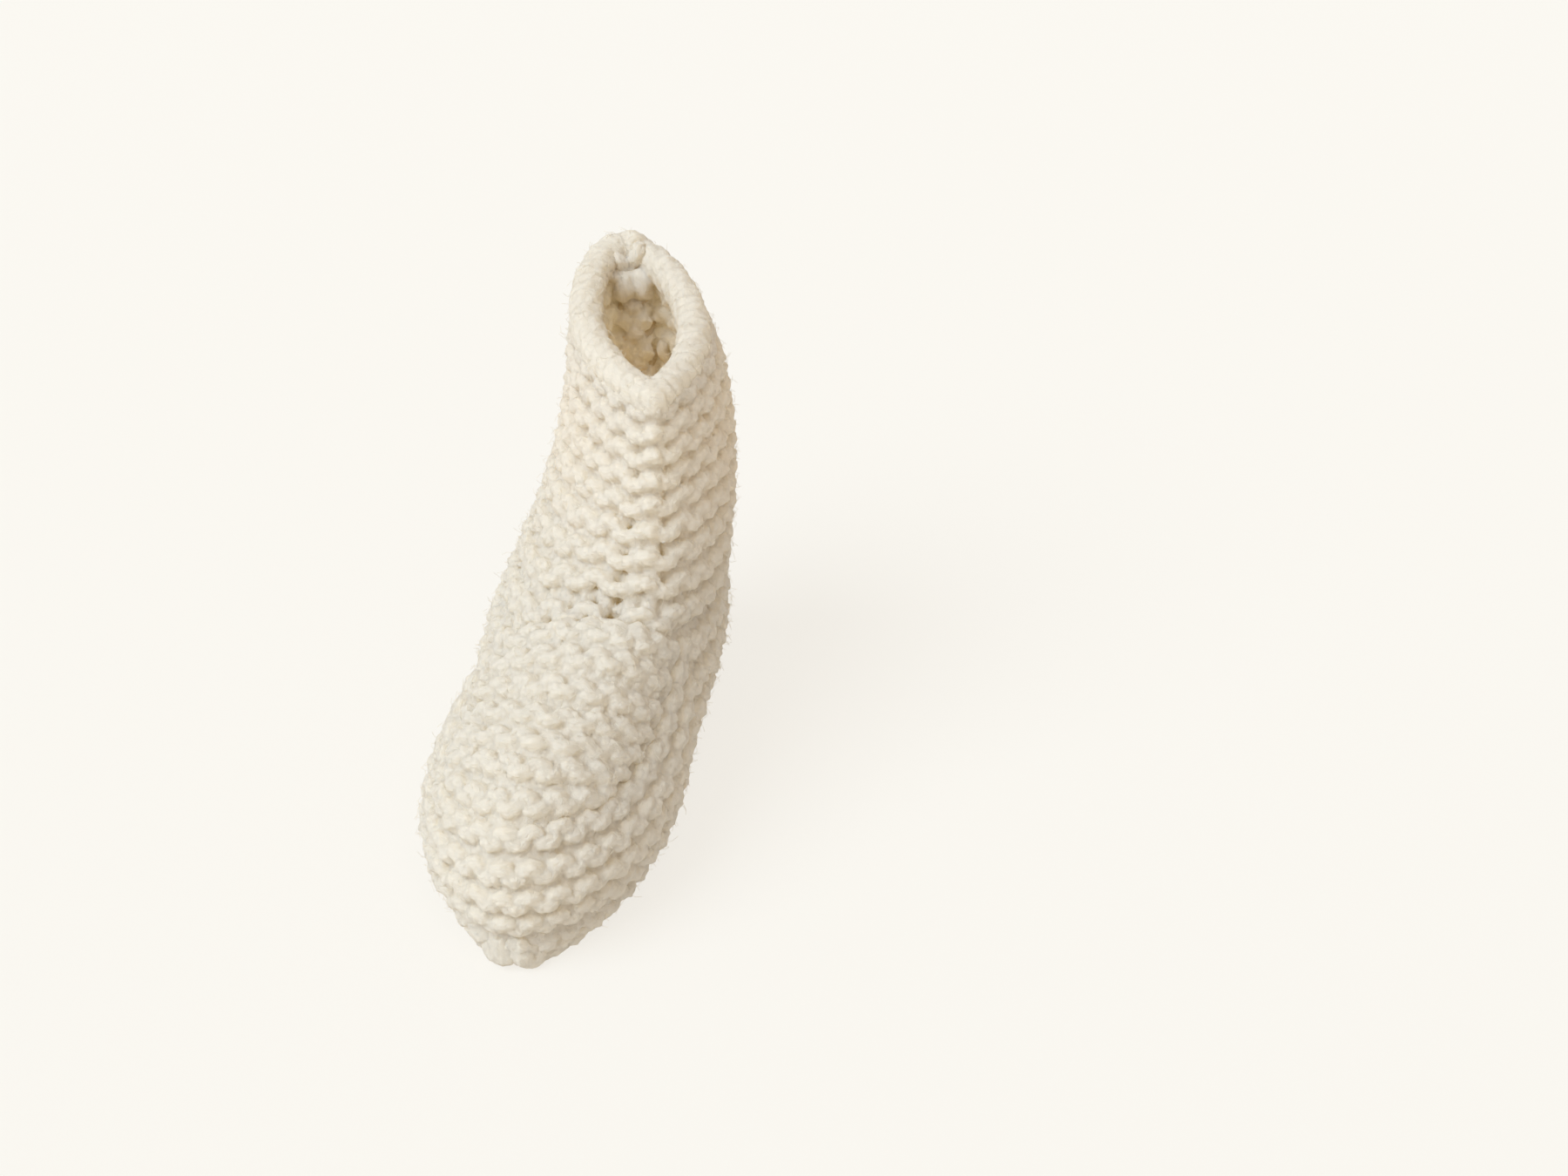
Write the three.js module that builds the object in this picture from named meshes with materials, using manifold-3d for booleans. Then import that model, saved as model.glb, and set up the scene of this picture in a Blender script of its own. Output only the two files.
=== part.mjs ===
// A baby's slip-on bootie, hand-knitted in garter stitch from chunky cream wool.
// Millimetres, +Z up.  The toe points along +X and the baby's left side is +Y.
// Every knitted panel is a closed solid of the fabric's real thickness, lofted round the foot
// and left open along the back, where the two edges of the knitting are sewn together.

import * as THREE from 'three';
import { LoftGeometry } from 'three/addons/geometries/LoftGeometry.js';
import { mergeVertices } from 'three/addons/utils/BufferGeometryUtils.js';
import Module from 'manifold-3d';

// ---- driving dimensions --------------------------------------------------------------------

const FABRIC = 5.5;          // thickness of the garter-stitch fabric
const GAP = 0.3;             // clearance kept between panels that are sewn edge to edge
const SEAM_GAP = 0.6;        // between the two sewn edges at the back
const SOLE_THICKNESS = 4.6;
const SOLE_INSET = 1.2;      // the sole's edge lies this far inside the foot band's lower edge
const SOLE_ROUND = 1.4;      // rounding of the sole's edge
const TOE_BULGE = 3.5;       // how far the foot band swells between its upper and lower edge
const HEEL_BULGE = 2;
const EDGE_PART = 0.1;       // the part of the leg's height taken by the rolled cast-on edge
const EDGE_ROLL = 0.5;       // how far the cast-on edge stands proud of the fabric on each side
const LEG_HEIGHT = 50;
const BAND_HEIGHT = 25;
const RIDGE_RADIUS = 2.6;    // the seam ridge inside the back
const RIDGE_START = 0.07;
const INSTEP_DOME = 6.5;     // how far the instep swells above a plain sheet between its edges
const FLAP_TOE = 0.4;        // where the flap's right edge meets its last row, round the foot
const INSTEP_LEAN = 1.3;     // turn of the fabric between the instep's two edges, radians
const SOLE_SEAM_Y = -2.2;
const SOLE_SEAM_ENDS = [-42, -20, 10, 52];
const TAIL_TURN = 0.89;      // place of the cast-on tail round the leg
const YARN = 3;              // thickness of the yarn

const GIRTH = 150;           // length once round the leg
const STATIONS = 72;         // loft stations once round the foot or leg
const WALL_STEPS = 6;        // loft points down a wall
const SLIVER = 0.02;         // triangles thinner than this are dissolved after a cut
const INSTEP_ROWS = 18;
const INSTEP_COLUMNS = 18;

// The leg is a flattened tube: a lens with a round back and a creased front.  It leans back and
// is turned a little on the foot.
const MOUTH = { x: -30, y: 2.2, z: 84, halfLength: 29.5, halfWidth: 13.2, turn: 0.33, slope: -0.11 };
const CALF = { x: -25.5, y: 4.2, z: 60, halfLength: 29, halfWidth: 17, turn: 0.25, slope: 0.04 };
const BACK_ROUNDNESS = 0.5;
const CREASE_SHARPNESS = 0.75;

// Where the leg ends, from the middle of the heel round the right side, the front crease (the
// seventh point) and the left side.
const ANKLE_LINE = [
  [-51, -4, 31], [-46, -14.5, 30], [-32, -22, 30.5], [-12, -22.5, 33],
  [8, -15.5, 38], [13, -1, 42], [14, 12, 42.5], [7, 18, 38.5],
  [-5, 20.5, 35], [-19, 20.5, 32.5], [-33, 17.5, 30.5], [-46, 7.5, 30],
];
const RIGHT_CORNER = 4 / 12;   // where the instep starts and ends on the ankle line
const LEFT_CORNER = 7 / 12;

// The line along which the foot band is picked up round the instep, corner to corner.
const PICK_UP_LINE = [
  [8, -15.5, 38], [20, -20.5, 30], [33, -20.5, 26.5], [46, -15, 27], [53, -3.5, 29],
  [47, 7.5, 28], [35, 14, 27], [21, 17, 29.5], [7, 18, 38.5],
];

// The lower edge of the foot band, from the heel round the right side to the toe and back.
const SOLE_LINE = [
  [-47, -2], [-42, -12.5], [-29, -18.5], [-11, -22], [7, -24.5], [23, -25], [38, -22],
  [51, -14.5], [58, -3], [52.5, 7], [40, 14.5], [25, 17.5], [8, 17], [-9, 15],
  [-27, 12.5], [-42, 7],
];

// ---- curves --------------------------------------------------------------------------------

const curve = (points, closed) => new THREE.CatmullRomCurve3(
  points.map(([x, y, z = 0]) => new THREE.Vector3(x, y, z)), closed, 'centripetal');

const ankleLine = curve(ANKLE_LINE, true);
const pickUpLine = curve(PICK_UP_LINE, false);
const soleLine = curve(SOLE_LINE, true);

const UP = new THREE.Vector3(0, 0, 1);

/** A point on a flattened tube's ring; turn runs 0..1 from the back round the right side. */
function lensPoint(ring, turn, inset = 0) {
  const angle = turn * 2 * Math.PI;
  const along = -Math.cos(angle);
  const power = along < 0 ? BACK_ROUNDNESS : CREASE_SHARPNESS;
  const across = -Math.sign(Math.sin(angle)) * Math.pow(Math.max(1 - along * along, 0), power);
  const x = along * (ring.halfLength - inset);
  const y = across * (ring.halfWidth - inset);
  const c = Math.cos(ring.turn);
  const s = Math.sin(ring.turn);
  return new THREE.Vector3(ring.x + x * c - y * s, ring.y + x * s + y * c, ring.z + x * ring.slope);
}

/** The horizontal outward direction of a closed outline at one place along it. */
function outward(line, turn) {
  const tangent = line.getTangent(((turn % 1) + 1) % 1);
  return new THREE.Vector3().crossVectors(UP, tangent).setZ(0).normalize().negate();
}

/** A point of the leg; down runs 0..1 from the mouth to the ankle line. */
function legPoint(turn, down, inset = 0) {
  const mouth = lensPoint(MOUTH, turn, inset);
  const calf = lensPoint(CALF, turn, inset);
  const ankle = ankleLine.getPoint(turn % 1);
  ankle.addScaledVector(outward(ankleLine, turn), -inset);
  // one parabola through the three rings
  const middle = (MOUTH.z - CALF.z) / (MOUTH.z - (ANKLE_LINE[0][2] + ANKLE_LINE[6][2]) / 2);
  const a = (down - middle) * (down - 1) / middle;
  const b = down * (down - 1) / (middle * (middle - 1));
  const c = down * (down - middle) / (1 - middle);
  return mouth.multiplyScalar(a).addScaledVector(calf, b).addScaledVector(ankle, c);
}

/** The foot band's upper edge; turn runs 0..1 from the heel round the right side. */
function bandTop(turn) {
  if (turn <= 0.25) return ankleLine.getPoint(turn * 4 * RIGHT_CORNER);
  if (turn < 0.75) return pickUpLine.getPoint((turn - 0.25) * 2);
  return ankleLine.getPoint((LEFT_CORNER + (turn - 0.75) * 4 * (1 - LEFT_CORNER)) % 1);
}

/** A point of the foot band; down runs 0..1 from its upper edge to its lower edge. */
function bandPoint(turn, down, inset = 0) {
  const top = bandTop(turn);
  const bottom = soleLine.getPoint(turn % 1).setZ(SOLE_THICKNESS + GAP);
  const bulge = THREE.MathUtils.lerp(HEEL_BULGE, TOE_BULGE, Math.sin(Math.PI * turn));
  const swell = bulge * Math.sin(Math.PI * down) - inset;
  return top.lerp(bottom, down).addScaledVector(outward(soleLine, turn), swell);
}

// ---- closed solids -------------------------------------------------------------------------

const wasm = await Module();
wasm.setup();

/** A closed geometry as a manifold solid, with its shared corners merged. */
function solid(geometry) {
  const bare = new THREE.BufferGeometry();
  bare.setAttribute('position', geometry.attributes.position);
  if (geometry.index) bare.setIndex(geometry.index);
  const merged = mergeVertices(bare, 1e-4);
  const vertProperties = Float32Array.from(merged.attributes.position.array);
  const triVerts = Uint32Array.from(merged.index.array);
  return new wasm.Manifold(new wasm.Mesh({ numProp: 3, vertProperties, triVerts }));
}

/** A manifold solid as a geometry that three.js can show. */
function shown(body) {
  const { vertProperties, triVerts } = body.getMesh();
  const geometry = new THREE.BufferGeometry();
  geometry.setAttribute('position', new THREE.BufferAttribute(Float32Array.from(vertProperties), 3));
  geometry.setIndex(new THREE.BufferAttribute(Uint32Array.from(triVerts), 1));
  geometry.computeVertexNormals();
  return geometry;
}

/** Evenly spaced numbers from a to b, both included. */
const steps = (a, b, count) => Array.from({ length: count + 1 }, (_, i) => a + (b - a) * i / count);

/** The places round the leg or foot where a panel's loft has its sections, open at the back. */
const turns = steps(SEAM_GAP / 2 / GIRTH, 1 - SEAM_GAP / 2 / GIRTH, STATIONS);

/** A wall that goes once round; point(turn, down, inset) gives its outer and inner face. */
function wall(point, from, to, outer, inner) {
  const downs = steps(from, to, WALL_STEPS);
  const sections = turns.map((turn) => [
    ...downs.map((down) => point(turn, down, outer)),
    ...downs.map((down) => point(turn, down, inner)).reverse(),
  ]);
  return solid(new LoftGeometry(sections, { capStart: true, capEnd: true }));
}

/** A round cord of the given radius along a curve. */
function cord(points, radius, count) {
  const section = new THREE.Shape().absarc(0, 0, radius, 0, 2 * Math.PI);
  const extrudePath = curve(points.map((p) => p.toArray()), false);
  return solid(new THREE.ExtrudeGeometry(section, { steps: count, curveSegments: 5, extrudePath }));
}

/** A box given by its lowest and highest corner. */
function block(low, high) {
  const size = high.map((value, i) => value - low[i]);
  const box = new THREE.BoxGeometry(...size);
  box.translate(...low.map((value, i) => value + size[i] / 2));
  return solid(box);
}

// ---- the pieces ----------------------------------------------------------------------------

/** The ridge inside the heel and calf where the sewn edges stand inwards. */
function seamRidge(radius) {
  const inset = FABRIC + RIDGE_RADIUS;
  const onLeg = steps(RIDGE_START, 0.95, 5).map((down) => legPoint(0, down, inset));
  const onBand = steps(0.1, 0.8, 3).map((down) => bandPoint(0, down, inset));
  return cord([...onLeg, ...onBand], radius, 28);
}

/** The rolled cast-on edge round the mouth. */
function castOnEdge() {
  const sections = turns.map((turn) => steps(0, 2 * Math.PI, 12).slice(0, -1).map((angle) => {
    const down = EDGE_PART / 2 * (1 + Math.cos(angle));
    return legPoint(turn, down, FABRIC / 2 + (FABRIC / 2 + EDGE_ROLL) * Math.sin(angle));
  }));
  return solid(new LoftGeometry(sections, { capStart: true, capEnd: true }));
}

/** The leg, from just under the cast-on edge to the ankle line. */
function legPanel() {
  const tube = wall(legPoint, EDGE_PART + GAP / LEG_HEIGHT, 1 - GAP / LEG_HEIGHT, 0, FABRIC);
  return tube.subtract(seamRidge(RIDGE_RADIUS + GAP));
}

/** The sides, heel and toe of the foot in one band, from the ankle line to the sole. */
function footBand() {
  const band = wall(bandPoint, 0, 1, 0, FABRIC);
  return band.subtract(seamRidge(RIDGE_RADIUS + GAP));
}

/** A point of the instep: along runs from the ankle to the toe, across from right to left. */
function instepPoint(along, across, depth) {
  const { lerp } = THREE.MathUtils;
  const side = FLAP_TOE - 0.25;
  const ankle = ankleLine.getPoint(lerp(RIGHT_CORNER, LEFT_CORNER, across));
  const toe = bandTop(lerp(FLAP_TOE, 1 - FLAP_TOE, across));
  const right = bandTop(0.25 + side * along);
  const left = bandTop(0.75 - side * along);
  const corners = bandTop(0.25).lerp(bandTop(FLAP_TOE), along)
    .lerp(bandTop(0.75).lerp(bandTop(1 - FLAP_TOE), along), across);
  const point = ankle.lerp(toe, along).add(right.lerp(left, across)).sub(corners);
  point.z += INSTEP_DOME * Math.sin(Math.PI * across) * Math.pow(Math.sin(Math.PI * along), 0.7);
  // the fabric's thickness lies down and towards the middle of the instep
  const lean = (across - 0.5) * INSTEP_LEAN;
  point.y -= depth * Math.sin(lean);
  point.z -= depth * Math.cos(lean);
  return point;
}

/** The flap over the instep, cut clear of the leg and the foot band that it is knitted to. */
function instepFlap() {
  const sheet = new THREE.BoxGeometry(1, 1, 1, INSTEP_COLUMNS, INSTEP_ROWS, 1);
  const corners = sheet.attributes.position;
  for (let i = 0; i < corners.count; i += 1) {
    const across = 0.5 - corners.getX(i);
    const along = corners.getY(i) + 0.5;
    const depth = GAP + (FABRIC - GAP) * (0.5 - corners.getZ(i));
    const point = instepPoint(along, across, depth);
    corners.setXYZ(i, point.x, point.y, point.z);
  }
  const flap = solid(sheet);
  const leg = wall(legPoint, EDGE_PART, 1 + GAP / LEG_HEIGHT, -GAP, FABRIC + GAP);
  const band = wall(bandPoint, -GAP / BAND_HEIGHT, 1, -GAP, FABRIC + GAP);
  return flap.subtract(leg).subtract(band).simplify(SLIVER);
}

/** The whole sole as a flat panel with rounded edges. */
function soleBlank() {
  const edge = soleLine.getPoints(STATIONS).slice(0, -1).map((p, i) => {
    const inward = outward(soleLine, i / STATIONS).multiplyScalar(-SOLE_INSET);
    return new THREE.Vector2(p.x + inward.x, p.y + inward.y);
  });
  const geometry = new THREE.ExtrudeGeometry(new THREE.Shape(edge), {
    depth: SOLE_THICKNESS - 2 * SOLE_ROUND,
    bevelThickness: SOLE_ROUND,
    bevelSize: SOLE_ROUND,
    bevelOffset: -SOLE_ROUND,
    bevelSegments: 3,
  });
  return solid(geometry.translate(0, 0, SOLE_ROUND));
}

/** One half of the sole; side is -1 for the right half and 1 for the left half. */
function soleHalf(side) {
  const near = SOLE_SEAM_Y + side * (YARN / 2 + GAP);
  const far = SOLE_SEAM_Y + side * 60;
  const half = block([-80, Math.min(near, far), -1], [80, Math.max(near, far), SOLE_THICKNESS + 1]);
  return soleBlank().intersect(half);
}

/** The sewn join of the sole's two halves, as a cord of yarn from heel to toe. */
function soleSeam() {
  const radius = YARN / 2;
  const ends = SOLE_SEAM_ENDS.map((x) => new THREE.Vector3(x, SOLE_SEAM_Y, radius + GAP));
  return cord(ends, radius, 24);
}

/** The cast-on tail, darned in beside the back seam. */
function castOnTail() {
  const inset = FABRIC + GAP + YARN / 2;
  return cord(steps(0.3, 0.7, 4).map((down) => legPoint(TAIL_TURN, down, inset)), YARN / 2, 16);
}

/** The sewing yarn's tail, darned in beside the sole seam. */
function sewingTail() {
  const z = SOLE_THICKNESS + GAP + YARN / 2;
  const points = [[-34, 3.2], [-26, 4], [-18, 3], [-10, 4]];
  return cord(points.map(([x, y]) => new THREE.Vector3(x, y, z)), YARN / 2, 16);
}

// ---- the bootie ----------------------------------------------------------------------------

const CREAM = 0xf3eee2;
const SHADED_CREAM = 0xe9dfca;

/** A named mesh of wool. */
function piece(name, body, color = CREAM) {
  const material = new THREE.MeshStandardMaterial({ color, roughness: 0.95, metalness: 0 });
  const mesh = new THREE.Mesh(shown(body), material);
  mesh.name = name;
  return mesh;
}

const onFoot = new THREE.Group();
onFoot.add(
  piece('cast_on_edge', castOnEdge()),
  piece('leg_panel', legPanel()),
  piece('instep_flap', instepFlap()),
  piece('foot_band', footBand()),
  piece('sole_right', soleHalf(-1)),
  piece('sole_left', soleHalf(1)),
  piece('back_seam', seamRidge(RIDGE_RADIUS), SHADED_CREAM),
  piece('sole_seam', soleSeam(), SHADED_CREAM),
  piece('cast_on_tail', castOnTail(), SHADED_CREAM),
  piece('sewing_tail', sewingTail(), SHADED_CREAM),
);

// stand the bootie on its sole with the middle of its footprint at the origin
const extent = new THREE.Box3().setFromObject(onFoot);
const middle = extent.getCenter(new THREE.Vector3());
onFoot.position.set(-middle.x, -middle.y, -extent.min.z);

const bootie = new THREE.Group();
bootie.add(onFoot);

export default bootie;
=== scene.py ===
"""A baby's slip-on bootie, hand-knitted in garter stitch from chunky cream wool.

Every row of knitting is one length of plied yarn, looped through the row before it and laid on
the fabric's surface.  Shapes are worked out in millimetres in the foot's own frame: x runs from
heel to toe, y to the left, z up, with zero on the floor under the sole.  The finished pieces are
in metres, in the CAD model's frame.
"""

import math
import random

import bmesh
import bpy
import numpy as np
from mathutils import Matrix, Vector
from mathutils.kdtree import KDTree


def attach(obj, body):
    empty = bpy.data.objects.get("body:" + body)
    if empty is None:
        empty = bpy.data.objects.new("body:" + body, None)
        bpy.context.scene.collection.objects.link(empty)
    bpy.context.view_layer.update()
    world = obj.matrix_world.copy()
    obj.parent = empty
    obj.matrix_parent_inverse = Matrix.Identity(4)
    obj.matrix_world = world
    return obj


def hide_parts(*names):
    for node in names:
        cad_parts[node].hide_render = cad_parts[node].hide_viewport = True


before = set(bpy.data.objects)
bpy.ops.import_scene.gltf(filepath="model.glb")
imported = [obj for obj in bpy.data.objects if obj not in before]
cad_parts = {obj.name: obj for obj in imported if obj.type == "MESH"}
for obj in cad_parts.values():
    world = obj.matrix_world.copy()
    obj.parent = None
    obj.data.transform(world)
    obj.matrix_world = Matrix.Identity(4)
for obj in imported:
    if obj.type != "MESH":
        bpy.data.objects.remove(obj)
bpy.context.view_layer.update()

MM = 0.001
SHIFT = np.array([-0.55, 2.115, 0.0])    # the foot's zero, seen from the middle of the CAD box

# ---- the yarn and the fabric -----------------------------------------------------------------

YARN = 3.05             # thickness of the yarn as it lies in the fabric
EDGE_YARN = 4.6         # thickness of each of the two strands that make the rolled cast-on edge
SEWING_YARN = 2.2       # thickness of the sewing yarn and of the tails, which are pulled tight
PLIES = 4
PLY_PITCH = 8.0         # length of yarn for one full turn of the plies
PLY_RELIEF = 0.35       # depth of the groove between two plies
PLY_LOBE = 0.07         # how far the plies swell the yarn's section, as a share of its radius
FABRIC = 5.5            # thickness of the garter stitch
LEG_ROWS, LEG_STITCHES = 18, 27
BAND_ROWS, BAND_STITCHES = 9, 51
FLAP_ROWS, FLAP_STITCHES = 14, 8
SOLE_ROWS, SOLE_STITCHES = 8, 19

LOOP_STEPS = 16         # curve points in one stitch
LOOP_HEIGHT = 0.86      # half the height of a loop, in rows
LOOP_LEAN = 0.16        # how far a loop bulges sideways, in stitches
LOOP_DEPTH = 1.35       # how far a loop leans through the fabric, front to back
LOOP_SHOULDER = 0.12    # how much squarer than a sine wave that lean is
UNEVEN = 0.07           # how far a hand-knitted stitch wanders, in stitches
UNEVEN_DEPTH = 0.25     # how far it wanders through the fabric

STREAK_DRAW = 0.12      # length along the yarn counts for less, so the streaks lie along it
STREAKS = 4.0           # noise cells in a yarn's radius: streaks 0.4 mm wide and 2 mm long
FLUFF = 1300.0          # noise cells in a metre: tufts of 0.8 mm
THROUGH = 0.45          # the share of light that a strand lets through

FIBRE = 0.07            # thickness of a loose fibre; a real one, at 0.03, is too fine to show
FIBRE_LENGTH = 2.3
FIBRE_COUNT = 13000

# ---- the seams and edges ---------------------------------------------------------------------

GIRTH = 150.0           # length once round the leg
OUTLINE = 210.0         # length once round the foot
ALLOWANCE = 6.0         # width of the edge that is turned in at the back seam
SEAM_ROUND = 1.5        # radius of that turn
SEAM_CLOSE = 2.6        # how far the sewing pulls each turned edge over the middle
CREASE = 13.5           # the stitch, counted from the back seam, that lies on the front crease
CREASE_STRETCH = 0.5    # that stitch is pulled wider by this many stitches a side
CREASE_REACH = 0.6      # the stitches over which the pull fades
TUCK_REACH = 0.35       # the end of a row is tucked in over this many stitches
RIM = 0.04              # where the cast-on edge lies, as a share of the leg's height
ROPE_SWING = 1.1        # the two strands of the cast-on edge wind round its middle at this radius
ROPE_ENDS = 0.018       # the part of the way round that the edge leaves free at the back seam

# the turned-in edges down the back: the way down the leg and on to the heel, 1 for the leg's height
RIDGE = dict(start=0.07, run=1.6, leg_end=0.97, hand_over=0.9, fade=0.1, inside=5.6)
BACK_WHIP = dict(radius=3.0, turns=14)
SOLE_WHIP = dict(heel=-42, run=94, height=2.6, radius=1.5, turns=16)
# the rolled ends of the cast-on edge, inside the mouth
KNOB = dict(turns=1.15, steps=30, down=0.14, inside=2.9, radius=1.4, apart=1.3, spread=0.25)
# the darned-in tails: the cast-on tail waves along the leg's inside, the sewing tail on the sole's
CAST_ON_TAIL = dict(turn=0.89, top=0.35, bottom=0.7, steps=60, clear=0.3, wave=0.9, waves=3)
SEWING_TAIL = [(-34, 3.2, 6.6), (-26, 4, 6.6), (-18, 3, 6.6), (-10, 4, 6.6)]

# ---- the shape of the foot and leg, as in the CAD model --------------------------------------

MOUTH = dict(x=-30, y=2.2, z=84, half_length=29.5, half_width=13.2, turn=0.33, slope=-0.11)
CALF = dict(x=-25.5, y=4.2, z=60, half_length=29, half_width=17, turn=0.25, slope=0.04)
BACK_ROUNDNESS = 0.5
CREASE_SHARPNESS = 0.75
RIM_DRAW = 2.2          # the cast-on edge draws the mouth in by this much
RIM_DEPTH = 0.25        # the part of the leg's height over which that draw fades
FILLET = 7.0            # radius of the fabric's bend between the leg and the instep
LEG_HEIGHT = 46.0
FLAP_LENGTH = 42.0
ANKLE_LINE = [
    (-51, -4, 31), (-46, -14.5, 30), (-32, -22, 30.5), (-12, -22.5, 33),
    (8, -15.5, 38), (13, -1, 42), (14, 12, 42.5), (7, 18, 38.5),
    (-5, 20.5, 35), (-19, 20.5, 32.5), (-33, 17.5, 30.5), (-46, 7.5, 30),
]
RIGHT_CORNER = 4 / 12   # the flap's corners, as places round the ankle line
LEFT_CORNER = 7 / 12
PICK_UP_LINE = [
    (8, -15.5, 38), (20, -20.5, 30), (33, -20.5, 26.5), (46, -15, 27), (53, -3.5, 29),
    (47, 7.5, 28), (35, 14, 27), (21, 17, 29.5), (7, 18, 38.5),
]
SOLE_LINE = [
    (-47, -2, 0), (-42, -12.5, 0), (-29, -18.5, 0), (-11, -22, 0), (7, -24.5, 0), (23, -25, 0),
    (38, -22, 0), (51, -14.5, 0), (58, -3, 0), (52.5, 7, 0), (40, 14.5, 0), (25, 17.5, 0),
    (8, 17, 0), (-9, 15, 0), (-27, 12.5, 0), (-42, 7, 0),
]
TOE_BULGE = 3.5
HEEL_BULGE = 2.0
SOLE_THICKNESS = 4.6
SOLE_SEAM_Y = -2.2
SOLE_CURL = 0.3         # the part of the sole that curls up to the foot band
SOLE_INSET = 0.3        # gap between the sole and the foot band
SOLE_START = 0.012      # each half of the sole starts this far round from the heel
SOLE_RUN = 0.476        # and runs this far on
INSTEP_DOME = 6.5
INSTEP_SQUARE = 0.15    # how much flatter than a sine wave the dome is from ankle to toe
INSTEP_CORE = np.array([24.0, -1.0, 8.0])      # the instep's fabric is thick towards here
INSTEP_SPLAY = np.array([0.6, 0.0, 0.0])
FLAP_TOE = 0.4          # where the flap's right edge meets its last row, round the foot


def spline(points, closed, t):
    """Points at t (0..1) on a smooth curve through the given points."""
    p = np.array(points, float)
    count = len(p) if closed else len(p) - 1
    s = (np.asarray(t, float) % 1.0 if closed else np.clip(t, 0, 1)) * count
    i = np.minimum(s.astype(int), count - 1)
    f = (s - i)[..., None]
    if closed:
        a, b, c, d = (p[(i + k) % len(p)] for k in (-1, 0, 1, 2))
    else:
        a, b, c, d = (p[np.clip(i + k, 0, len(p) - 1)] for k in (-1, 0, 1, 2))
    return 0.5 * (2 * b + (c - a) * f + (2 * a - 5 * b + 4 * c - d) * f ** 2
                  + (3 * b - a - 3 * c + d) * f ** 3)


def lens(ring, turn, inset=0):
    """A flattened tube's ring; turn runs 0..1 from the back round the right side."""
    angle = np.asarray(turn) * 2 * math.pi
    along = -np.cos(angle)
    power = np.where(along < 0, BACK_ROUNDNESS, CREASE_SHARPNESS)
    across = -np.sign(np.sin(angle)) * np.maximum(1 - along ** 2, 0) ** power
    x = along * (ring["half_length"] - inset)
    y = across * (ring["half_width"] - inset)
    c, s = math.cos(ring["turn"]), math.sin(ring["turn"])
    z = ring["z"] + x * ring["slope"]
    return np.stack([ring["x"] + x * c - y * s, ring["y"] + x * s + y * c, z], -1)


def inwards(angle):
    """The level directions from the back seam into the bootie, and across that."""
    deep = np.stack([np.cos(angle), np.sin(angle), 0 * angle], -1)
    across = np.stack([-np.sin(angle), np.cos(angle), 0 * angle], -1)
    return deep, across


def bend(distance, across):
    """How far the fabric stands off the ankle's sharp corner, at a distance from it."""
    short = np.clip(FILLET - distance, 0, 0.97 * FILLET)    # short of where the arc stands upright
    fade = np.sqrt(np.maximum(np.sin(math.pi * np.clip(across, 0, 1)), 0))
    return fade * (FILLET - np.sqrt(FILLET ** 2 - short ** 2))


def leg_surface(turn, down):
    """The leg's outer face; down runs 0..1 from the mouth to the ankle line."""
    mean = (ANKLE_LINE[0][2] + ANKLE_LINE[6][2]) / 2
    middle = (MOUTH["z"] - CALF["z"]) / (MOUTH["z"] - mean)
    a = (down - middle) * (down - 1) / middle
    b = down * (down - 1) / (middle * (middle - 1))
    c = down * (down - middle) / (1 - middle)
    drawn = RIM_DRAW * np.maximum(1 - down / RIM_DEPTH, 0) ** 2
    rings = lens(MOUTH, turn, drawn), lens(CALF, turn), spline(ANKLE_LINE, True, turn)
    point = sum(w[..., None] * r for w, r in zip((a, b, c), rings))
    front = (turn - RIGHT_CORNER) / (LEFT_CORNER - RIGHT_CORNER)
    point[..., 0] += bend((1 - down) * LEG_HEIGHT, front)
    return point


def band_top(turn):
    """The foot band's upper edge, from the heel round the right side."""
    t = np.asarray(turn) % 1.0
    right = spline(ANKLE_LINE, True, t * 4 * RIGHT_CORNER)
    front = spline(PICK_UP_LINE, False, (t - 0.25) * 2)
    left = spline(ANKLE_LINE, True, LEFT_CORNER + (t - 0.75) * 4 * (1 - LEFT_CORNER))
    t = t[..., None]
    return np.where(t <= 0.25, right, np.where(t < 0.75, front, left))


def outward(turn):
    """The level direction out of the sole's outline."""
    step = 1e-3
    tangent = spline(SOLE_LINE, True, turn + step) - spline(SOLE_LINE, True, turn - step)
    normal = np.stack([tangent[..., 1], -tangent[..., 0], 0 * tangent[..., 0]], -1)
    return normal / np.linalg.norm(normal, axis=-1, keepdims=True)


def band_surface(turn, down):
    """The foot band's outer face; down runs 0..1 from its upper edge to the sole."""
    top = band_top(turn)
    bottom = spline(SOLE_LINE, True, turn)
    bottom[..., 2] = SOLE_THICKNESS
    bulge = HEEL_BULGE + (TOE_BULGE - HEEL_BULGE) * np.sin(math.pi * np.asarray(turn))
    swell = outward(turn) * (bulge * np.sin(math.pi * down))[..., None]
    k = down[..., None]
    return top * (1 - k) + bottom * k + swell


def instep_surface(across, along):
    """The instep's outer face; along runs from ankle to toe, across from right to left."""
    side = FLAP_TOE - 0.25
    ankle = spline(ANKLE_LINE, True, RIGHT_CORNER + (LEFT_CORNER - RIGHT_CORNER) * across)
    toe = band_top(FLAP_TOE + (1 - 2 * FLAP_TOE) * across)
    right, left = band_top(0.25 + side * along), band_top(0.75 - side * along)
    u, v = across[..., None], along[..., None]
    ends = [band_top(np.array(t)) for t in (0.25, FLAP_TOE, 0.75, 1 - FLAP_TOE)]
    corners = (ends[0] * (1 - v) + ends[1] * v) * (1 - u) + (ends[2] * (1 - v) + ends[3] * v) * u
    point = ankle * (1 - v) + toe * v + right * (1 - u) + left * u - corners
    swell = np.sin(math.pi * along) + INSTEP_SQUARE * np.sin(3 * math.pi * along)
    point[..., 2] += INSTEP_DOME * np.sin(math.pi * across) * swell / (1 - INSTEP_SQUARE)
    point[..., 2] += bend(along * FLAP_LENGTH, across)
    return point


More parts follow.
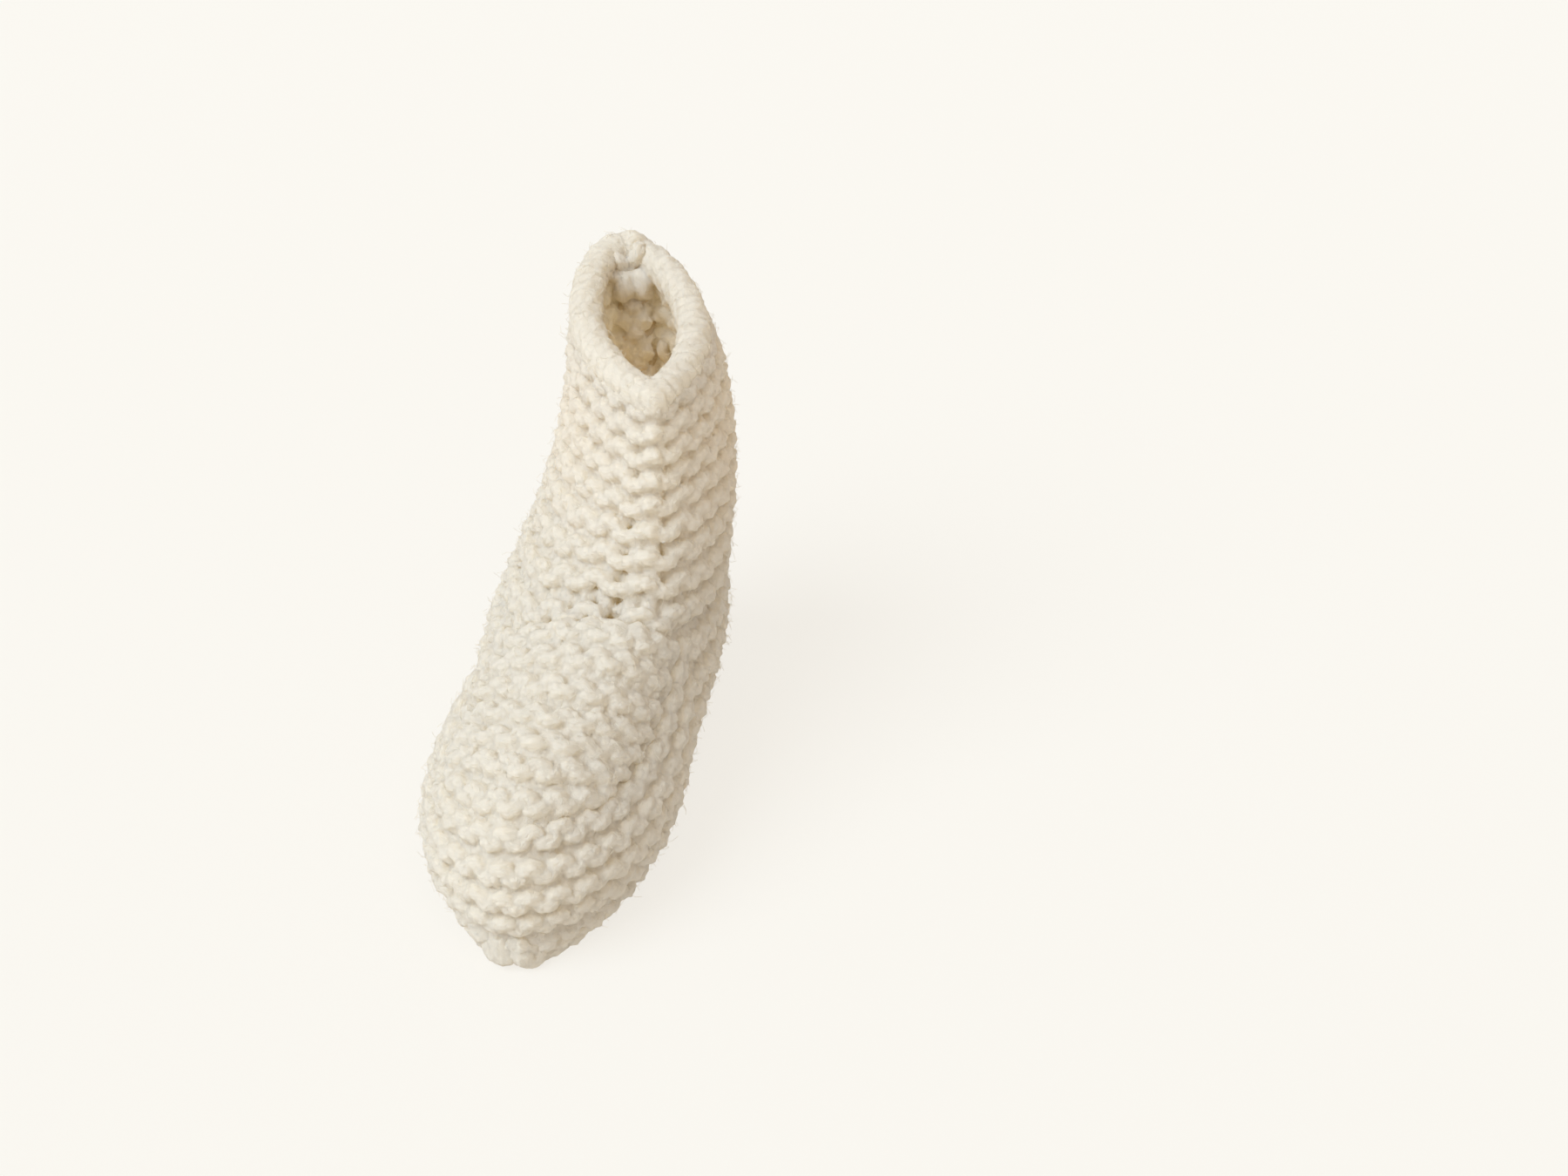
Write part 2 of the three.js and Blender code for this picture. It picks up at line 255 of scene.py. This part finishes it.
def sole_surface(side):
    """The lower face of the sole's right (-1) or left (1) half, from its edge to the seam."""
    def surface(run, inward):
        turn = SOLE_START + SOLE_RUN * run
        turn = turn if side < 0 else 1 - turn
        edge = spline(SOLE_LINE, True, turn) - outward(turn) * SOLE_INSET
        seam = edge.copy()
        seam[..., 1] = SOLE_SEAM_Y
        k = inward[..., None]
        point = edge * (1 - k) + seam * k
        point[..., 2] = SOLE_THICKNESS * np.maximum(1 - inward / SOLE_CURL, 0) ** 2
        return point
    return surface


# ---- paths of yarn on a fabric's surface -----------------------------------------------------

def run_length(path):
    """The length of a path up to each of its points."""
    return np.concatenate([[0], np.cumsum(np.linalg.norm(np.diff(path, axis=0), axis=1))])


def evened(surface, levels=9, count=512):
    """The surface with equal lengths of fabric for equal steps of its first parameter."""
    turns = np.linspace(0, 1, count + 1)
    table = []
    for level in np.linspace(0, 1, levels):
        length = run_length(surface(turns, np.full_like(turns, level)))
        half = length[count // 2]
        first = length / half / 2
        second = 0.5 + (length - half) / (length[-1] - half) / 2
        table.append(np.interp(turns, np.where(turns < 0.5, first, second), turns))
    table = np.array(table)

    def even(u, v):
        row = np.clip(v, 0, 1) * (levels - 1)
        place = np.clip(u, 0, 1) * count
        i = np.minimum(row.astype(int), levels - 2)
        j = np.minimum(place.astype(int), count - 1)
        f, g = row - i, place - j
        low = table[i, j] * (1 - g) + table[i, j + 1] * g
        high = table[i + 1, j] * (1 - g) + table[i + 1, j + 1] * g
        return surface(low * (1 - f) + high * f, v)
    return even


def sewn(surface, length, heading):
    """The surface with its two ends turned inwards where they are sewn together at the back."""
    def turned(u, v):
        near = u * (length + 2 * ALLOWANCE) - ALLOWANCE
        far = length - near
        ahead = np.minimum(near, far)
        root = np.sqrt(ahead ** 2 + 4 * SEAM_ROUND ** 2)
        along, inward = (root + ahead) / 2, (root - ahead) / 2
        point = surface(np.where(near < far, along, length - along) / length, v)
        deep, across = inwards(heading * (1 - v))
        closed = SEAM_CLOSE * inward / (inward + SEAM_ROUND) * np.where(near < far, 1, -1)
        return point + deep * inward[..., None] + across * closed[..., None]
    return turned


def lay(surface, u, v, height):
    """Points at u, v on a surface, lifted by height along its normal."""
    e = 2e-3
    point = surface(u, v)
    if surface is instep_surface:
        normal = INSTEP_CORE + (point - INSTEP_CORE) * INSTEP_SPLAY - point
        return point + normal / np.linalg.norm(normal, axis=-1, keepdims=True) * height[..., None]
    normal = np.cross(surface(u + e, v) - surface(u - e, v), surface(u, v + e) - surface(u, v - e))
    size = np.maximum(np.linalg.norm(normal, axis=-1, keepdims=True), 1e-9)
    return point + normal / size * height[..., None]


def wander(chance, t, count):
    """A smooth random wander between -1 and 1 along t, with count changes of mind."""
    knots = np.array([chance.uniform(-1, 1) for _ in range(count + 1)])
    place = (t - t[0]) / (t[-1] - t[0]) * count
    i = np.minimum(place.astype(int), count - 1)
    f = place - i
    f = f * f * (3 - 2 * f)
    return knots[i] * (1 - f) + knots[i + 1] * f


def course(surface, row, rows, stitches, inner=1, top=0.0, bottom=1.0, crease=None, tuck=0.0,
           seed=0):
    """The path of one row of garter stitch, its loops leaning in turn out and in."""
    chance = random.Random(seed * 100 + row)
    t = np.linspace(0, 2 * math.pi * stitches, LOOP_STEPS * stitches + 1)
    lean = 1 if row % 2 == 0 else -1
    u = t / (2 * math.pi) + LOOP_LEAN * np.sin(2 * t) + UNEVEN * wander(chance, t, stitches)
    if crease is not None:
        u += CREASE_STRETCH * np.tanh((t / (2 * math.pi) - crease) / CREASE_REACH)
    u = u / stitches
    high = LOOP_HEIGHT * (1 + UNEVEN * wander(chance, t, 2 * stitches))
    v = row + 0.5 + high * np.cos(t) + 0.5 * UNEVEN * wander(chance, t, stitches)
    v = top + (bottom - top) * v / rows
    depth = LOOP_DEPTH * lean * (np.cos(t) + LOOP_SHOULDER * np.cos(3 * t))
    depth = depth + UNEVEN_DEPTH * wander(chance, t, stitches)
    ends = np.minimum(t, t[-1] - t) / (2 * math.pi)
    depth = depth - tuck * np.exp(-(ends / TUCK_REACH) ** 2)
    path = lay(surface, u, v, inner * (FABRIC / 2 - depth))
    path[:, 2] = np.maximum(path[:, 2], YARN / 2)
    return path


def panel(surface, rows, stitches, **ways):
    """Every row of one knitted panel."""
    return [course(surface, row, rows, stitches, **ways) for row in range(rows)]


def rope(surface, strands, count):
    """Strands twisted round one another along a panel's edge."""
    t = np.linspace(ROPE_ENDS, 1 - ROPE_ENDS, count * LOOP_STEPS + 1)
    paths = []
    for strand in range(strands):
        angle = 2 * math.pi * (count * t + strand / strands)
        v = RIM + ROPE_SWING * np.cos(angle) / LEG_HEIGHT
        paths.append(lay(surface, t, v, FABRIC / 2 + ROPE_SWING * np.sin(angle)))
    return paths


def knob(side):
    """One of the cast-on edge's two ends, curled up on the inside at the top of the back seam."""
    turn = np.linspace(0, 2 * math.pi * KNOB["turns"], KNOB["steps"])[:, None]
    deep, across = inwards(MOUTH["turn"])
    start = leg_surface(np.array(0.0), np.array(KNOB["down"])) + deep * (FABRIC + KNOB["inside"])
    curl = np.sin(turn) * deep + np.cos(turn) * np.array([0, 0, 1.0])
    return start + KNOB["radius"] * curl + across * side * (KNOB["apart"] + KNOB["spread"] * turn)


def back_ridge(t):
    """The middle of the turned-in edges down the back of the leg and the heel."""
    down = RIDGE["start"] + RIDGE["run"] * t
    seam = np.zeros_like(t)
    leg = leg_surface(seam, np.minimum(down, RIDGE["leg_end"]))
    heel = band_surface(seam, np.clip(down - RIDGE["hand_over"], 0, RIDGE["hand_over"]))
    blend = np.clip((down - RIDGE["hand_over"]) / RIDGE["fade"], 0, 1)[:, None]
    deep, side = inwards(MOUTH["turn"] * np.clip(1 - down, 0, 1))
    return leg * (1 - blend) + heel * blend + deep * RIDGE["inside"], side, deep


def sole_ridge(t):
    """The middle of the sole's seam from heel to toe."""
    x = SOLE_WHIP["heel"] + SOLE_WHIP["run"] * t
    point = np.stack([x, 0 * t + SOLE_SEAM_Y, 0 * t + SOLE_WHIP["height"]], -1)
    return point, np.array([[0, 1.0, 0]]), np.array([[0, 0, 1.0]])


def whip(ridge, radius, turns):
    """A sewing yarn wound over a ridge, which gives its middle and two directions across it."""
    t = np.linspace(0, 1, turns * LOOP_STEPS + 1)
    middle, side, deep = ridge(t)
    angle = 2 * math.pi * turns * t
    return middle + radius * (side * np.cos(angle)[:, None] + deep * np.sin(angle)[:, None])


def darned_tail(surface):
    """The cast-on tail, waving in and out along the inside of the leg."""
    way = CAST_ON_TAIL
    down = np.linspace(way["top"], way["bottom"], way["steps"])
    wave = np.sin(np.linspace(0, 2 * math.pi * way["waves"], way["steps"]))
    height = FABRIC + way["clear"] + way["wave"] * wave
    return lay(surface, np.full(way["steps"], way["turn"]), down, height)


# ---- from paths to solid yarn ----------------------------------------------------------------

def placed(name, data):
    """A new object in the scene."""
    thing = bpy.data.objects.new(name, data)
    bpy.context.scene.collection.objects.link(thing)
    return thing


def ply_profile(thickness, count=3 * PLIES):
    """The yarn's cross-section: plies twisted together, so a round with as many lobes."""
    data = bpy.data.curves.new("ply_profile", "CURVE")
    data.dimensions = "2D"
    section = data.splines.new("POLY")
    section.points.add(count - 1)
    for i, point in enumerate(section.points):
        a = 2 * math.pi * i / count
        r = thickness / 2 * (1 - PLY_LOBE + PLY_LOBE * math.cos(PLIES * a)) * MM
        point.co = (r * math.cos(a), r * math.sin(a), 0, 1)
    section.use_cyclic_u = True
    return placed("ply_profile", data)


def swept(name, profile):
    """An empty curve that sweeps a profile along each spline it is given."""
    data = bpy.data.curves.new(name, "CURVE")
    data.dimensions = "3D"
    data.twist_mode = "MINIMUM"
    data.bevel_mode = "OBJECT"
    data.bevel_object = profile
    data.use_fill_caps = True
    return data


def add_strand(data, path, tilt=None):
    """One strand, in metres, on a swept curve."""
    strand = data.splines.new("POLY")
    strand.points.add(len(path) - 1)
    strand.points.foreach_set("co", np.concatenate([path, np.ones((len(path), 1))], 1).ravel())
    if tilt is not None:
        strand.points.foreach_set("tilt", tilt)


def frozen(thing):
    """The evaluated shape of an object as a plain mesh; the object itself is taken away."""
    bpy.context.view_layer.update()
    graph = bpy.context.evaluated_depsgraph_get()
    mesh = bpy.data.meshes.new_from_object(thing.evaluated_get(graph))
    bpy.data.objects.remove(thing)
    return mesh


def felted(name, mesh, grain, keep):
    """The touching strands merged into one skin, as wool felts where it rubs."""
    raw = placed(name, mesh)
    merge = raw.modifiers.new("felted", "REMESH")
    merge.mode = "VOXEL"
    merge.voxel_size = grain * MM
    soften = raw.modifiers.new("softened", "SMOOTH")
    soften.factor = 0.5
    soften.iterations = 1
    thin_out = raw.modifiers.new("thinned", "DECIMATE")
    thin_out.ratio = keep
    return frozen(raw)


def finished(name, mesh, material):
    """A finished piece of the bootie."""
    mesh.materials.clear()
    mesh.materials.append(material)
    mesh.shade_smooth()
    piece = placed(name, mesh)
    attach(piece, "root")
    return piece


def places_and_normals(mesh):
    """Where a mesh's points are and which way they face."""
    values = []
    for what in ("co", "normal"):
        flat = np.empty(len(mesh.vertices) * 3)
        mesh.vertices.foreach_get(what, flat)
        values.append(flat.reshape(-1, 3))
    return values


def frames(path):
    """Along a path: its direction, a side direction that does not twist, and its length so far."""
    step = np.gradient(path, axis=0)
    ahead = step / np.maximum(np.linalg.norm(step, axis=1, keepdims=True), 1e-9)
    side = np.empty_like(ahead)
    last = np.cross(ahead[0], (0.3, 0.5, 0.8))     # any direction that no yarn starts along
    for i, direction in enumerate(ahead):
        last = last - direction * last.dot(direction)
        last = last / math.sqrt(last.dot(last))
        side[i] = last
    return ahead, side, np.cumsum(np.linalg.norm(step, axis=1))


def wind(mesh, paths):
    """Twists the plies round the yarn: raises them and stores each point's place on its yarn.

    The stored place is a point on a cylinder of radius 1 round the yarn, with the length along
    the yarn drawn in by STREAK_DRAW.
    """
    found = [frames(path) for path in paths]
    path = np.concatenate(paths)
    ahead, side, length = (np.concatenate([f[k] for f in found]) for k in range(3))
    tree = KDTree(len(path))
    for i, point in enumerate(path):
        tree.insert(point, i)
    tree.balance()
    place, normal = places_and_normals(mesh)
    i = np.array([tree.find(point)[1] for point in place / MM - SHIFT])
    out = place / MM - SHIFT - path[i]
    angle = np.arctan2((out * np.cross(ahead, side)[i]).sum(1), (out * side[i]).sum(1))
    angle = angle + 2 * math.pi * length[i] / PLY_PITCH
    raised = PLY_RELIEF * (np.abs(np.cos(angle * PLIES / 2)) - 0.5)
    place = place + normal * raised[:, None] * MM
    mesh.vertices.foreach_set("co", place.ravel())
    on_yarn = mesh.attributes.new("on_yarn", "FLOAT_VECTOR", "POINT")
    value = np.stack([np.cos(angle), np.sin(angle), length[i] * STREAK_DRAW], 1)
    on_yarn.data.foreach_set("vector", value.ravel())


def yarn(name, paths, profile, material, grain=0.45, keep=0.58):
    """Lengths of plied yarn along the given paths, as one piece.

    grain is the finest detail that the felting keeps, in millimetres, and keep is the share of
    the faces that stay.
    """
    data = swept(name, profile)
    for number, path in enumerate(paths):
        add_strand(data, (path + SHIFT) * MM, 2 * math.pi * run_length(path) / PLY_PITCH + number)
    mesh = felted(name, frozen(placed(name, data)), grain, keep)
    wind(mesh, paths)
    return finished(name, mesh, material)


def halo(name, pieces, material):
    """Loose fibre ends standing off the wool, spread over the pieces by their number of points."""
    chance = np.random.default_rng(7)
    found = [places_and_normals(piece.data) for piece in pieces]
    places, normals = (np.concatenate([f[k] for f in found]) for k in range(2))
    chosen = chance.choice(len(places), FIBRE_COUNT, replace=False)
    chosen = chosen[places[chosen, 2] > FIBRE_LENGTH * MM]      # none pokes through the floor
    root, normal = places[chosen], normals[chosen]
    # each fibre lies nearly flat, curls to one side and lifts towards its tip
    lie = np.cross(normal, chance.normal(size=normal.shape))
    lie /= np.linalg.norm(lie, axis=1, keepdims=True)
    curl = np.cross(normal, lie) * chance.uniform(-0.5, 0.5, (len(lie), 1))
    length = FIBRE_LENGTH * MM * chance.uniform(0.4, 1.0, (len(lie), 1))
    lift = chance.uniform(0.05, 0.3, (len(lie), 1))
    buried = root - normal * 0.1 * MM
    middle = root + length * (0.5 * lie + lift * normal)
    tip = root + length * (lie + curl + 1.2 * lift * normal)
    section = ply_profile(FIBRE, 3)
    data = swept(name, section)
    fibres = np.stack([buried, middle, tip], 1)
    for points in fibres[np.isfinite(fibres).all((1, 2))]:      # a point that faces nowhere has none
        add_strand(data, points)
    mesh = frozen(placed(name, data))
    bpy.data.objects.remove(section)
    return finished(name, mesh, material)


# ---- the wool --------------------------------------------------------------------------------

def srgb(text):
    """A colour's sRGB hex value as linear red, green, blue and alpha."""
    values = [int(text[i:i + 2], 16) / 255 for i in (1, 3, 5)]
    return [*(v / 12.92 if v <= 0.04045 else ((v + 0.055) / 1.055) ** 2.4 for v in values), 1]


def node(tree, kind, links=(), **settings):
    """Adds a shader node with its settings and its incoming links."""
    new = tree.nodes.new(kind)
    for key, value in settings.items():
        if key.startswith("in_"):
            new.inputs[int(key[3:])].default_value = value
        else:
            setattr(new, key, value)
    for source, output, socket in links:
        tree.links.new(source.outputs[output], new.inputs[socket])
    return new


def wool(name, hex_colour):
    """Plied sheep's wool.

    It is matt, with a little velvety light at its edges.  Streaks along each strand show the
    fibres of the plies, finer tufts make it look soft, and warm light shines through the yarn
    into the hollows between the stitches.
    """
    material = bpy.data.materials.new(name)
    material.use_nodes = True
    tree = material.node_tree
    shader = tree.nodes["Principled BSDF"]
    shader.inputs["Base Color"].default_value = srgb(hex_colour)
    shader.inputs["Roughness"].default_value = 0.95
    shader.inputs["Specular IOR Level"].default_value = 0.2
    shader.inputs["Sheen Weight"].default_value = 0.35
    shader.inputs["Sheen Roughness"].default_value = 0.6
    on_yarn = node(tree, "ShaderNodeAttribute", attribute_name="on_yarn")
    fibres = node(tree, "ShaderNodeTexNoise", [(on_yarn, "Vector", "Vector")],
                  in_2=STREAKS, in_3=3.0)
    streaks = node(tree, "ShaderNodeBump", [(fibres, "Fac", "Height")], in_0=0.5, in_1=0.5 * MM)
    where = node(tree, "ShaderNodeTexCoord")
    tufts = node(tree, "ShaderNodeTexNoise", [(where, "Object", "Vector")], in_2=FLUFF, in_3=4.0)
    fluff = node(tree, "ShaderNodeBump", [(tufts, "Fac", "Height"), (streaks, "Normal", "Normal")],
                 in_0=0.25, in_1=0.4 * MM)
    tree.links.new(fluff.outputs["Normal"], shader.inputs["Normal"])
    through = node(tree, "ShaderNodeBsdfTranslucent", [(fluff, "Normal", "Normal")],
                   in_0=srgb("#f8e9c9"))
    both = node(tree, "ShaderNodeMixShader", [(shader, "BSDF", 1), (through, "BSDF", 2)],
                in_0=THROUGH)
    tree.links.new(both.outputs[0], tree.nodes["Material Output"].inputs["Surface"])
    return material


# undyed cream wool, which looks nearly white in the light and honey-coloured in its hollows
knitted = wool("knitted_wool_chunky_plied", "#f7f5ee")
# the same wool a little darker, so that the sewing can be told from the knitting
sewing = wool("sewing_wool_plied", "#f0e4cd")

# ---- the pieces ------------------------------------------------------------------------------

on_leg = sewn(evened(leg_surface), GIRTH, MOUTH["turn"])
on_band = sewn(evened(band_surface), OUTLINE, 0.0)
profile = ply_profile(YARN)
thick = ply_profile(EDGE_YARN)
thin = ply_profile(SEWING_YARN)


def sole_half(side):
    """The paths of the sole's right (-1) or left (1) half."""
    return panel(evened(sole_surface(side)), SOLE_ROWS, SOLE_STITCHES,
                 inner=-side, tuck=1.5, seed=4 + side)


def build_pieces():
    """Every piece of the bootie; the table lists each one's CAD model node, which is hidden, and its
    material slot.
    """
    edge = yarn("cast_on_edge_rope", rope(on_leg, 2, LEG_STITCHES) + [knob(-1), knob(1)],
                thick, knitted)
    leg = yarn("knitted_leg", panel(on_leg, LEG_ROWS, LEG_STITCHES,
                                    top=0.05, bottom=0.99, crease=CREASE, seed=1),
               profile, knitted)
    flap = yarn("knitted_instep", panel(instep_surface, FLAP_ROWS, FLAP_STITCHES,
                                        top=0.03, tuck=2.5, seed=2),
                profile, knitted)
    band = yarn("knitted_foot_band", panel(on_band, BAND_ROWS, BAND_STITCHES, seed=3),
                profile, knitted)
    right = yarn("knitted_sole_right", sole_half(-1), profile, knitted)
    left = yarn("knitted_sole_left", sole_half(1), profile, knitted)
    ridge = yarn("back_seam_whip_stitches", [whip(back_ridge, **BACK_WHIP)], thin, sewing)
    seam = yarn("sole_seam_whip_stitches",
                [whip(sole_ridge, SOLE_WHIP["radius"], SOLE_WHIP["turns"])], thin, sewing)
    tail = yarn("cast_on_tail_strand", [darned_tail(on_leg)], thin, knitted)
    end = yarn("sewing_tail_strand", [spline(SEWING_TAIL, False, np.linspace(0, 1, 40))],
               thin, sewing)
    fuzz = halo("loose_fibre_ends", (edge, leg, flap, band), knitted)
    for piece, cad, slot in (
        (edge, "cast_on_edge", "knitted_wool"), (leg, "leg_panel", "knitted_wool"),
        (flap, "instep_flap", "knitted_wool"), (band, "foot_band", "knitted_wool"),
        (right, "sole_right", "knitted_wool"), (left, "sole_left", "knitted_wool"),
        (ridge, "back_seam", "sewing_wool"), (seam, "sole_seam", "sewing_wool"),
        (tail, "cast_on_tail", "knitted_wool"), (end, "sewing_tail", "sewing_wool"),
    ):
        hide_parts(cad)
    for spare in (profile, thick, thin):
        bpy.data.objects.remove(spare)


# ---- the studio ------------------------------------------------------------------------------

# the room's own frame, in which the camera looks along y: where the foot stands and how it turns
YAW = -0.17
STAND = (-28.8, -23.2)
CAMERA = dict(elevation=0.58, distance=488.5, aim=(5.5, 40.15), sensor=36.0, lens=52.0)
SUNS = (
    # name, where it shines from, its spread and strength, and its colour
    ("fill", (60, -350, 700), 0.6, 0.5, "#fff3e0"),
    ("key", (-380, -260, 520), 0.8, 2.7, "#e6f4ff"),
)
SKY = dict(colour="#fff9f2", strength=0.57)
PAPER = dict(half_width=4.0, colour="#6a6865", glow_colour="#f8f5ee", glow=0.81)
GLOW = dict(strength=0.0032, radius=9, colour="#ffdca0")


def in_model(x, y, z):
    """A place in the room, in millimetres, as a place in the CAD model's frame, in metres."""
    dx, dy = x - STAND[0], y - STAND[1]
    along = dx * math.sin(YAW) - dy * math.cos(YAW)
    left = dx * math.cos(YAW) + dy * math.sin(YAW)
    return Vector((along + SHIFT[0], left + SHIFT[1], z)) * MM


def aimed(thing, place, target):
    """Puts a lamp or a camera in its place, looking at the target."""
    thing.location = place
    thing.rotation_euler = (target - place).to_track_quat("-Z", "Y").to_euler()


def camera():
    """The camera, above and in front of the toe."""
    data = bpy.data.cameras.new("camera")
    data.sensor_width = CAMERA["sensor"]
    data.lens = CAMERA["lens"]
    data.clip_start = 0.01
    view = placed("camera", data)
    x, y = CAMERA["aim"]
    e, d = CAMERA["elevation"], CAMERA["distance"]
    aimed(view, in_model(x, y - d * math.cos(e), d * math.sin(e)), in_model(x, y, 0))
    bpy.context.scene.camera = view


def sun(name, place, spread, strength, colour):
    """A large soft lamp, far away."""
    data = bpy.data.lights.new(name, "SUN")
    data.angle = spread
    data.energy = strength
    data.color = srgb(colour)[:3]
    aimed(placed(name, data), in_model(*place), in_model(STAND[0], STAND[1], 40))


def glow():
    """A weak warm lamp inside the leg.

    It stands for the light that wool scatters many times from wall to wall, more often than a
    render follows it.
    """
    data = bpy.data.lights.new("glow", "POINT")
    data.energy = GLOW["strength"]
    data.color = srgb(GLOW["colour"])[:3]
    data.shadow_soft_size = GLOW["radius"] * MM
    lamp = placed("glow", data)
    lamp.location = (np.array([CALF["x"], CALF["y"], CALF["z"]]) + SHIFT) * MM


def floor():
    """A sheet of pale backdrop paper, matt and evenly lit from below, so shadows on it are faint."""
    form = bmesh.new()
    bmesh.ops.create_grid(form, x_segments=1, y_segments=1, size=PAPER["half_width"])
    mesh = bpy.data.meshes.new("floor")
    form.to_mesh(mesh)
    form.free()
    sheet = placed("floor", mesh)
    paper = bpy.data.materials.new("matt_backdrop_paper")
    paper.use_nodes = True
    shader = paper.node_tree.nodes["Principled BSDF"]
    shader.inputs["Base Color"].default_value = srgb(PAPER["colour"])
    shader.inputs["Roughness"].default_value = 0.9
    shader.inputs["Emission Color"].default_value = srgb(PAPER["glow_colour"])
    shader.inputs["Emission Strength"].default_value = PAPER["glow"]
    mesh.materials.append(paper)


def studio():
    """The sky's even light, the floor and the lamps."""
    scene = bpy.context.scene
    scene.view_settings.view_transform = "Standard"
    world = bpy.data.worlds.new("soft_box")
    world.use_nodes = True
    scene.world = world
    sky = world.node_tree.nodes["Background"]
    sky.inputs["Color"].default_value = srgb(SKY["colour"])
    sky.inputs["Strength"].default_value = SKY["strength"]
    floor()
    for settings in SUNS:
        sun(*settings)
    glow()


build_pieces()
camera()
studio()
